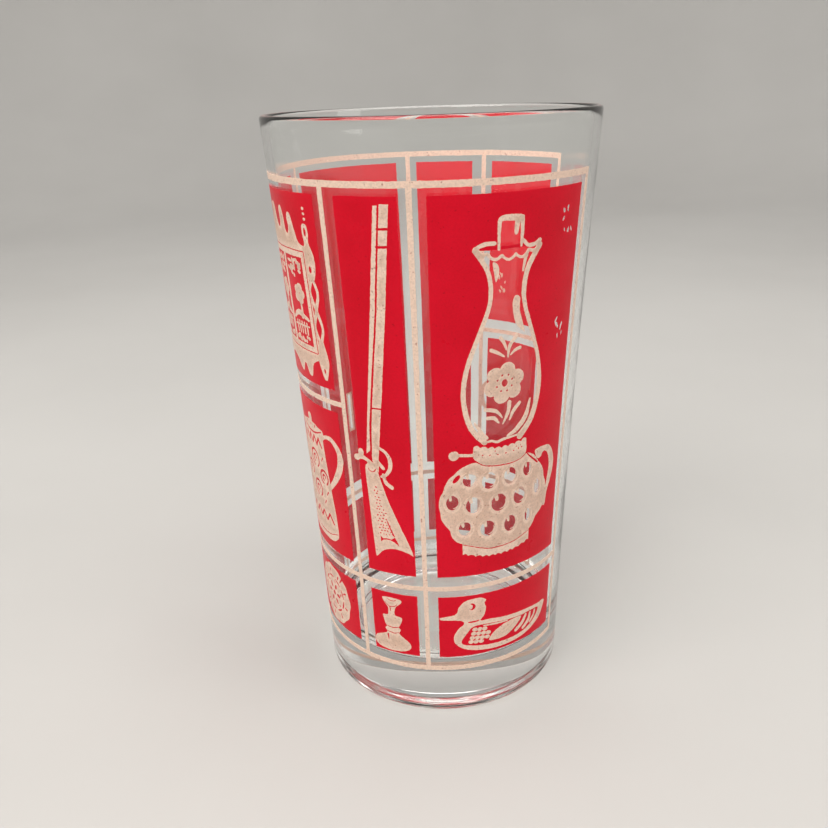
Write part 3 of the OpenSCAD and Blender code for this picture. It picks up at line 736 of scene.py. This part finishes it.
def glass_profile():
    """Half section: from the middle of the punt, up the outside, over the lip and down the inside."""
    heel_r = wall_r(HEEL_Z) - STAND_OUT
    lip_r = (WALL_T[0] * GLASS_H + WALL_T[1]) / 2
    punt = [(STAND_IN - PUNT_BEND * (1 - t), PUNT_H * 0.5 * (1 + math.cos(math.pi * t)))
            for t in np.linspace(0, 1, 9)]
    heel = arc(STAND_OUT, heel_r, heel_r, -90, 0, 10)
    wall_z = np.linspace(heel_r, GLASS_H - lip_r, 78)[1:-1]
    outer = [(wall_r(z), z) for z in wall_z]
    lip = arc(wall_r(GLASS_H - lip_r) - lip_r, GLASS_H - lip_r, lip_r, 4, 176, 14)
    sweep_z = FLOOR_Z + FLOOR_SWEEP
    inner = [(inner_r(z), z) for z in reversed(wall_z) if z > sweep_z + 0.5]
    sweep = arc(inner_r(sweep_z) - FLOOR_SWEEP, sweep_z, FLOOR_SWEEP, 0, -90, 14)
    dish_r = sweep[-1][0]
    dish = [(r, FLOOR_Z - FLOOR_DISH * (1 - (r / dish_r) ** 2)) for r in np.linspace(dish_r, 0, 10)[1:]]
    flat = [(r, PUNT_H) for r in np.linspace(0, STAND_IN - PUNT_BEND, 8)[:-1]]
    return flat + punt + heel + outer + lip + inner + sweep + dish


def inner_r(z):
    return wall_r(z) - (WALL_T[0] * z + WALL_T[1])


def wobble(r, z, turn):
    """A slow drift of the inner wall, since pressed glass isn't quite round. It bends what shows through."""
    if z < FLOOR_Z - 1 or r > wall_r(z) - 0.8 or z > GLASS_H - 3:
        return 0.0
    place = Vector((DRIFT_ROUND * math.cos(turn), DRIFT_ROUND * math.sin(turn), z * DRIFT_UP))
    return DRIFT * noise.noise(place) * min(1.0, r / 10)


def build_glass(material):
    profile = glass_profile()
    verts, faces = [], []
    first, last = profile[0], profile[-1]
    rings = profile[1:-1]
    for k in range(SEGMENTS):
        turn = 2 * math.pi * k / SEGMENTS
        for r, z in rings:
            radius = (r + wobble(r, z, turn)) * MM
            verts.append((radius * math.cos(turn), radius * math.sin(turn), z * MM))
    n = len(rings)
    for k in range(SEGMENTS):
        a, b = k * n, (k + 1) % SEGMENTS * n
        faces += [(a + i, b + i, b + i + 1, a + i + 1) for i in range(n - 1)]
    low, high = len(verts), len(verts) + 1
    verts += [(0, 0, first[1] * MM), (0, 0, last[1] * MM)]
    for k in range(SEGMENTS):
        a, b = k * n, (k + 1) % SEGMENTS * n
        faces += [(low, b, a), (high, a + n - 1, b + n - 1)]
    mesh = bpy.data.meshes.new("tumbler_body")
    mesh.from_pydata(verts, [], faces)
    mesh.validate()
    mesh.shade_smooth()
    obj = bpy.data.objects.new("tumbler_body", mesh)
    bpy.context.collection.objects.link(obj)
    obj.data.materials.append(material)
    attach(obj, "root")
    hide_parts("glass_tumbler")


# ---------------------------------------------------------------- materials

# Sockets of the Mix node when it mixes colours, since their names repeat
MIX_FACTOR, MIX_LOW, MIX_HIGH, MIX_RESULT = 0, 6, 7, 2
# Noise scales of the enamel: slow drift of colour, screen grain, pinholes, gloss and relief
TONE_SCALE, GRAIN_SCALE, PINHOLE_SCALE, GLOSS_SCALE, RELIEF_SCALE = 38, 2200, 1700, 160, 1100
# Noise scales of the glass: handling smears and the ripple left by pressing
SMEAR_SCALE, RIPPLE_SCALE = 60, 45


def new_material(name):
    mat = bpy.data.materials.new(name)
    mat.use_nodes = True
    tree = mat.node_tree
    return mat, tree, tree.nodes["Principled BSDF"]


def add_noise(tree, scale, detail=4.0, roughness=0.55):
    """Noise in object space, where one unit is a metre."""
    where = tree.nodes.new("ShaderNodeTexCoord")
    tex = tree.nodes.new("ShaderNodeTexNoise")
    tex.inputs["Scale"].default_value = scale
    tex.inputs["Detail"].default_value = detail
    tex.inputs["Roughness"].default_value = roughness
    tree.links.new(where.outputs["Object"], tex.inputs["Vector"])
    return tex.outputs["Fac"]


def add_ramp(tree, source, stops):
    """A colour ramp; stops are (position, colour)."""
    ramp = tree.nodes.new("ShaderNodeValToRGB")
    elements = ramp.color_ramp.elements
    while len(elements) < len(stops):
        elements.new(0.5)
    for element, (position, colour) in zip(elements, stops):
        element.position = position
        element.color = (*colour, 1)
    tree.links.new(source, ramp.inputs["Fac"])
    return ramp.outputs["Color"]


def add_mix(tree, factor, low, high, blend="MIX"):
    mix = tree.nodes.new("ShaderNodeMix")
    mix.data_type = "RGBA"
    mix.blend_type = blend
    for number, value in ((MIX_FACTOR, factor), (MIX_LOW, low), (MIX_HIGH, high)):
        socket = mix.inputs[number]
        if isinstance(value, bpy.types.NodeSocket):
            tree.links.new(value, socket)
        elif isinstance(value, tuple):
            socket.default_value = (*value, 1)
        else:
            socket.default_value = value
    return mix.outputs[MIX_RESULT]


def add_range(tree, source, low, high, from_low=0.3, from_high=0.7):
    """Maps the middle of a noise to a range of numbers."""
    node = tree.nodes.new("ShaderNodeMapRange")
    for name, value in (("From Min", from_low), ("From Max", from_high), ("To Min", low), ("To Max", high)):
        node.inputs[name].default_value = value
    tree.links.new(source, node.inputs["Value"])
    return node.outputs["Result"]


def add_bump(tree, bsdf, height, distance, strength=1.0):
    bump = tree.nodes.new("ShaderNodeBump")
    bump.inputs["Distance"].default_value = distance
    bump.inputs["Strength"].default_value = strength
    tree.links.new(height, bump.inputs["Height"])
    tree.links.new(bump.outputs["Normal"], bsdf.inputs["Normal"])


def glass_material():
    """Clear soda-lime glass: slow ripple from pressing, faint handling smears."""
    mat, tree, bsdf = new_material("clear_pressed_glass")
    bsdf.inputs["Base Color"].default_value = (0.985, 0.995, 0.99, 1)
    bsdf.inputs["Transmission Weight"].default_value = 1.0
    bsdf.inputs["IOR"].default_value = 1.5
    bsdf.inputs["Specular IOR Level"].default_value = 0.3
    smears = add_noise(tree, SMEAR_SCALE, 5, 0.6)
    tree.links.new(add_range(tree, smears, 0.0, 0.05, 0.5, 0.8), bsdf.inputs["Roughness"])
    add_bump(tree, bsdf, add_noise(tree, RIPPLE_SCALE, 1.5, 0.4), distance=0.0004, strength=0.25)
    light_through(tree, bsdf, (0.9, 0.92, 0.91))
    return mat


def light_through(tree, bsdf, tint):
    """Lets lamps shine through the glass on to what is behind it."""
    path = tree.nodes.new("ShaderNodeLightPath")
    clear = tree.nodes.new("ShaderNodeBsdfTransparent")
    clear.inputs["Color"].default_value = (*tint, 1)
    mix = tree.nodes.new("ShaderNodeMixShader")
    tree.links.new(path.outputs["Is Shadow Ray"], mix.inputs[0])
    tree.links.new(bsdf.outputs[0], mix.inputs[1])
    tree.links.new(clear.outputs[0], mix.inputs[2])
    tree.links.new(mix.outputs[0], tree.nodes["Material Output"].inputs["Surface"])


def enamel_material(name, deep, middle, light, heaped, speck, speck_level, grain_share, rough, specular):
    """Fired enamel: a drift of colour, screen grain, pinholes, heaped edges and an uneven satin gloss.

    A pinhole shows wherever its noise rises above speck_level.
    """
    mat, tree, bsdf = new_material(name)
    drift = add_ramp(tree, add_noise(tree, TONE_SCALE, 3), [(0.3, deep), (0.5, middle), (0.7, light)])
    grain = add_ramp(tree, add_noise(tree, GRAIN_SCALE, 2), [(0.36, (0.74, 0.74, 0.74)), (0.6, (1, 1, 1))])
    pinholes = add_range(tree, add_noise(tree, PINHOLE_SCALE, 1, 0.4), 0.0, 0.8,
                         speck_level, speck_level + 0.05)
    edge = tree.nodes.new("ShaderNodeAttribute")
    edge.attribute_name = HEAPED
    edged = add_mix(tree, edge.outputs["Fac"], drift, heaped)
    toned = add_mix(tree, grain_share, edged, grain, "MULTIPLY")
    tree.links.new(add_mix(tree, pinholes, toned, speck), bsdf.inputs["Base Color"])
    gloss = add_range(tree, add_noise(tree, GLOSS_SCALE, 5), rough - 0.07, rough + 0.09)
    tree.links.new(gloss, bsdf.inputs["Roughness"])
    bsdf.inputs["Specular IOR Level"].default_value = specular
    add_bump(tree, bsdf, add_noise(tree, RELIEF_SCALE, 3), distance=0.00005, strength=0.35)
    return mat


def floor_material():
    mat, tree, bsdf = new_material("pale_floor")
    tone = add_ramp(tree, add_noise(tree, 3, 4), [(0.3, (0.46, 0.455, 0.445)), (0.7, (0.51, 0.505, 0.495))])
    tree.links.new(tone, bsdf.inputs["Base Color"])
    bsdf.inputs["Roughness"].default_value = 0.7
    return mat


# ---------------------------------------------------------------- the print

# A picture's share across its panel when it stands in the middle
MIDDLE = 0.5
LAMP_SHARE = 0.45
# Heights of the feet of most pictures in the two lower rows, and of the lamp
TALL_FOOT, SMALL_FOOT, LAMP_FOOT = 45, 19, 44.8
# Half an upright line's width in degrees
HALF_RULE = 0.95


def printed_pictures():
    """Where each picture stands: node stem, panel, drawing, share across its panel and height of its foot."""
    return [
        ("kettle", "kettle_panel", kettle(), MIDDLE, 91.4),
        ("jug", "jug_panel", jug(), MIDDLE, TALL_FOOT),
        ("iron", "iron_panel", flat_iron(), MIDDLE, SMALL_FOOT),
        ("broom", "broom_panel", broom(), MIDDLE, TALL_FOOT),
        ("key", "key_panel", key(), MIDDLE, SMALL_FOOT),
        ("chair", "chair_panel", chair(), MIDDLE, TALL_FOOT),
        ("bowl", "bowl_panel", bowl(), MIDDLE, SMALL_FOOT),
        ("mirror", "mirror_panel", mirror(), MIDDLE, 88.2),
        ("coffeepot", "coffeepot_panel", coffeepot(), 0.645, 43.6),
        ("plate", "plate_panel", plate(), 0.69, 26),
        ("musket", "musket_panel", musket(), 0.47, 44.8),
        ("candlestick", "candlestick_panel", candlestick(), 0.45, 17.8),
        ("duck", "duck_panel", duck(), 0.485, 18.8),
    ]


def lamp_parts():
    return [("lamp_chimney", lamp_chimney(), LAMP_FOOT), ("lamp_flower", lamp_flower(), 89.7),
            ("lamp_base", lamp_base(), LAMP_FOOT)]


def panel_loops(panel):
    return [field(*azimuths(panel), *heights(panel))]


def print_picture(stem, cream, picture, azimuth, foot_z):
    """The cream of one picture, with its raised strokes where it has any. Returns its openings in the red."""
    outline, marks, islands, windows, ridges, bare = (placed(loops, azimuth, foot_z) for loops in picture)
    name = stem + "_picture"
    print_piece(name, cream, CREAM, outline, marks + windows, islands)
    if ridges:
        add_ridges("enamel_" + name, ridges)
    return windows + bare


def add_ridges(name, ridges):
    """Joins raised strokes to a printed piece."""
    base = bpy.data.objects[name]
    mesh = skin_mesh(name + "_ridges", RIDGE, ridges)
    work = bmesh.new()
    work.from_mesh(base.data)
    work.from_mesh(mesh)
    work.to_mesh(base.data)
    work.free()
    bpy.data.meshes.remove(mesh)


# Small clusters of worn chips in the red: panel, then the cluster's share across and up it
CHIPS = (("lamp_panel", 0.875, 0.915), ("lamp_panel", 0.875, 0.64), ("kettle_panel", 0.78, 0.25))


CHIPS_IN_CLUSTER = 10
CHIP_SEED = 40


def chips(panel):
    """Little oval flakes missing from a panel."""
    out = []
    for number, (name, across, up) in enumerate(CHIPS):
        if name == panel:
            draw = random.Random(CHIP_SEED + number)
            (low, high), (low_z, high_z) = azimuths(panel), heights(panel)
            u, v = math.radians(low + (high - low) * across) * MEAN_R, low_z + (high_z - low_z) * up
            out += [dense(ellipse(u + draw.uniform(-1.7, 1.7), v + draw.uniform(-3, 3),
                                  draw.uniform(0.2, 0.36), draw.uniform(0.4, 0.8), draw.uniform(-35, 35), 10))
                    for _ in range(CHIPS_IN_CLUSTER)]
    return out


def print_pictures(red, cream):
    for stem, panel, picture, share, foot_z in printed_pictures():
        low, high = azimuths(panel)
        windows = print_picture(stem, cream, picture, low + (high - low) * share, foot_z)
        print_piece(panel, red, RED, panel_loops(panel), windows + chips(panel))


def print_lamp(red, cream):
    low, high = azimuths("lamp_panel")
    azimuth = low + (high - low) * LAMP_SHARE
    windows = []
    for stem, picture, foot_z in lamp_parts():
        opened = print_picture(stem, cream, picture, azimuth, foot_z)
        if stem != "lamp_flower":
            windows += opened
    print_piece("lamp_panel", red, RED, panel_loops("lamp_panel"),
                windows + chips("lamp_panel"))


def print_lines(cream):
    """The level lines and the upright rules, each over its CAD node."""
    nodes = [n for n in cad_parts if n.startswith("rule_") or n.endswith("_divider")]
    for node in [*sorted(nodes), "top_line", "base_line"]:
        print_piece(node, cream, LINE, panel_loops(node))
    rules = sorted(sum(azimuths(n)) / 2 for n in nodes if n.startswith("rule_"))
    low_z, high_z = heights("middle_line")
    spans = [field(a + HALF_RULE, b - HALF_RULE, low_z, high_z) for a, b in zip(rules, rules[1:])]
    print_piece("middle_line", cream, LINE, spans)


# ---------------------------------------------------------------- stage, lights and camera

# The floor lies this far under the glass, in metres, so that the two don't share a plane
FLOOR_GAP = 0.00002
# The camera's distance in front of the axis and its height over the floor, in glass heights
CAMERA_BACK, CAMERA_UP = 1.45, 1.0369
# The camera's turns in degrees, its lens in millimetres and its shift, fitted to the photo's outline
CAMERA_DOWN, CAMERA_YAW, CAMERA_ROLL = 15.94, -1.52, -1.87
LENS, SENSOR = 37.29, 36
SHIFT_Y = -0.1002


def build_stage(material):
    """A pale floor that sweeps up into a low wall all round."""
    flat_r, bend_r, wall_top = 0.9, 0.5, 1.1
    profile = [(0.0, 0.0), (flat_r, 0.0)]
    profile += [(flat_r + bend_r * math.sin(a), bend_r * (1 - math.cos(a)))
                for a in np.linspace(0, math.pi / 2, 14)[1:]]
    profile.append((flat_r + bend_r, wall_top))
    steps = 96
    verts = [(0, 0, 0)]
    for k in range(steps):
        turn = 2 * math.pi * k / steps
        verts += [(r * math.cos(turn), r * math.sin(turn), z) for r, z in profile[1:]]
    n = len(profile) - 1
    faces = []
    for k in range(steps):
        a, b = 1 + k * n, 1 + (k + 1) % steps * n
        faces.append((0, a, b))
        faces += [(a + i, a + i + 1, b + i + 1, b + i) for i in range(n - 1)]
    mesh = bpy.data.meshes.new("studio_floor")
    mesh.from_pydata(verts, [], faces)
    mesh.shade_smooth()
    obj = bpy.data.objects.new("studio_floor", mesh)
    obj.location.z = -FLOOR_GAP
    bpy.context.collection.objects.link(obj)
    obj.data.materials.append(material)


def add_light(name, place, aim, size, power, colour=(1, 1, 1)):
    data = bpy.data.lights.new(name, "AREA")
    data.shape = "RECTANGLE"
    data.size, data.size_y = size
    data.energy = power
    data.color = colour
    obj = bpy.data.objects.new(name, data)
    obj.location = place
    obj.rotation_mode = "QUATERNION"
    obj.rotation_quaternion = (Vector(aim) - Vector(place)).to_track_quat("-Z", "Y")
    bpy.context.collection.objects.link(obj)


def build_lights():
    middle = (0, 0, GLASS_H * MM / 2)
    add_light("key_softbox", (-0.5, -0.55, 0.85), middle, (0.7, 0.5), 6.6, (1, 0.96, 0.9))
    add_light("fill_softbox", (0.85, -0.35, 0.6), middle, (0.4, 0.8), 2.6, (1, 0.97, 0.93))
    add_light("top_softbox", (0.0, -0.1, 1.25), middle, (1.1, 1.1), 13, (1, 0.97, 0.93))
    world = bpy.data.worlds.new("studio")
    world.use_nodes = True
    world.node_tree.nodes["Background"].inputs["Color"].default_value = (0.95, 0.93, 0.9, 1)
    world.node_tree.nodes["Background"].inputs["Strength"].default_value = 0.42
    bpy.context.scene.world = world
    bpy.context.scene.view_settings.view_transform = "Standard"


def build_camera():
    """Stands in front of the glass, a little higher than its rim, and looks a little down."""
    height = GLASS_H * MM
    pitch, yaw, roll = math.radians(CAMERA_DOWN), math.radians(CAMERA_YAW), math.radians(CAMERA_ROLL)
    forward = Vector((math.sin(yaw) * math.cos(pitch), math.cos(yaw) * math.cos(pitch), -math.sin(pitch)))
    right = Vector((math.cos(yaw), -math.sin(yaw), 0))
    up = right.cross(forward)
    across = right * math.cos(roll) + up * math.sin(roll)
    upward = up * math.cos(roll) - right * math.sin(roll)
    data = bpy.data.cameras.new("camera")
    data.lens = LENS
    data.sensor_width = SENSOR
    data.shift_y = SHIFT_Y
    data.clip_start = 0.01
    obj = bpy.data.objects.new("camera", data)
    axes = Matrix((across, upward, -forward)).transposed()
    obj.matrix_world = Matrix.Translation((0, -CAMERA_BACK * height, CAMERA_UP * height)) @ axes.to_4x4()
    bpy.context.collection.objects.link(obj)
    bpy.context.scene.camera = obj


RED_INK = {
    "deep": (0.6, 0.001, 0.014), "middle": (0.66, 0.002, 0.018), "light": (0.72, 0.003, 0.023),
    "heaped": (0.68, 0.003, 0.02), "speck": (0.42, 0.002, 0.01), "speck_level": 0.72,
    "grain_share": 0.25, "rough": 0.34, "specular": 0.12,
}
CREAM_INK = {
    "deep": (0.65, 0.435, 0.33), "middle": (0.71, 0.49, 0.38), "light": (0.77, 0.545, 0.43),
    "heaped": (0.86, 0.64, 0.52), "speck": (0.45, 0.2, 0.15), "speck_level": 0.68,
    "grain_share": 0.6, "rough": 0.4, "specular": 0.35,
}


def main():
    red = enamel_material("red_fired_enamel", **RED_INK)
    cream = enamel_material("cream_fired_enamel", **CREAM_INK)
    build_glass(glass_material())
    print_lines(cream)
    print_pictures(red, cream)
    print_lamp(red, cream)
    build_stage(floor_material())
    build_lights()
    build_camera()


main()
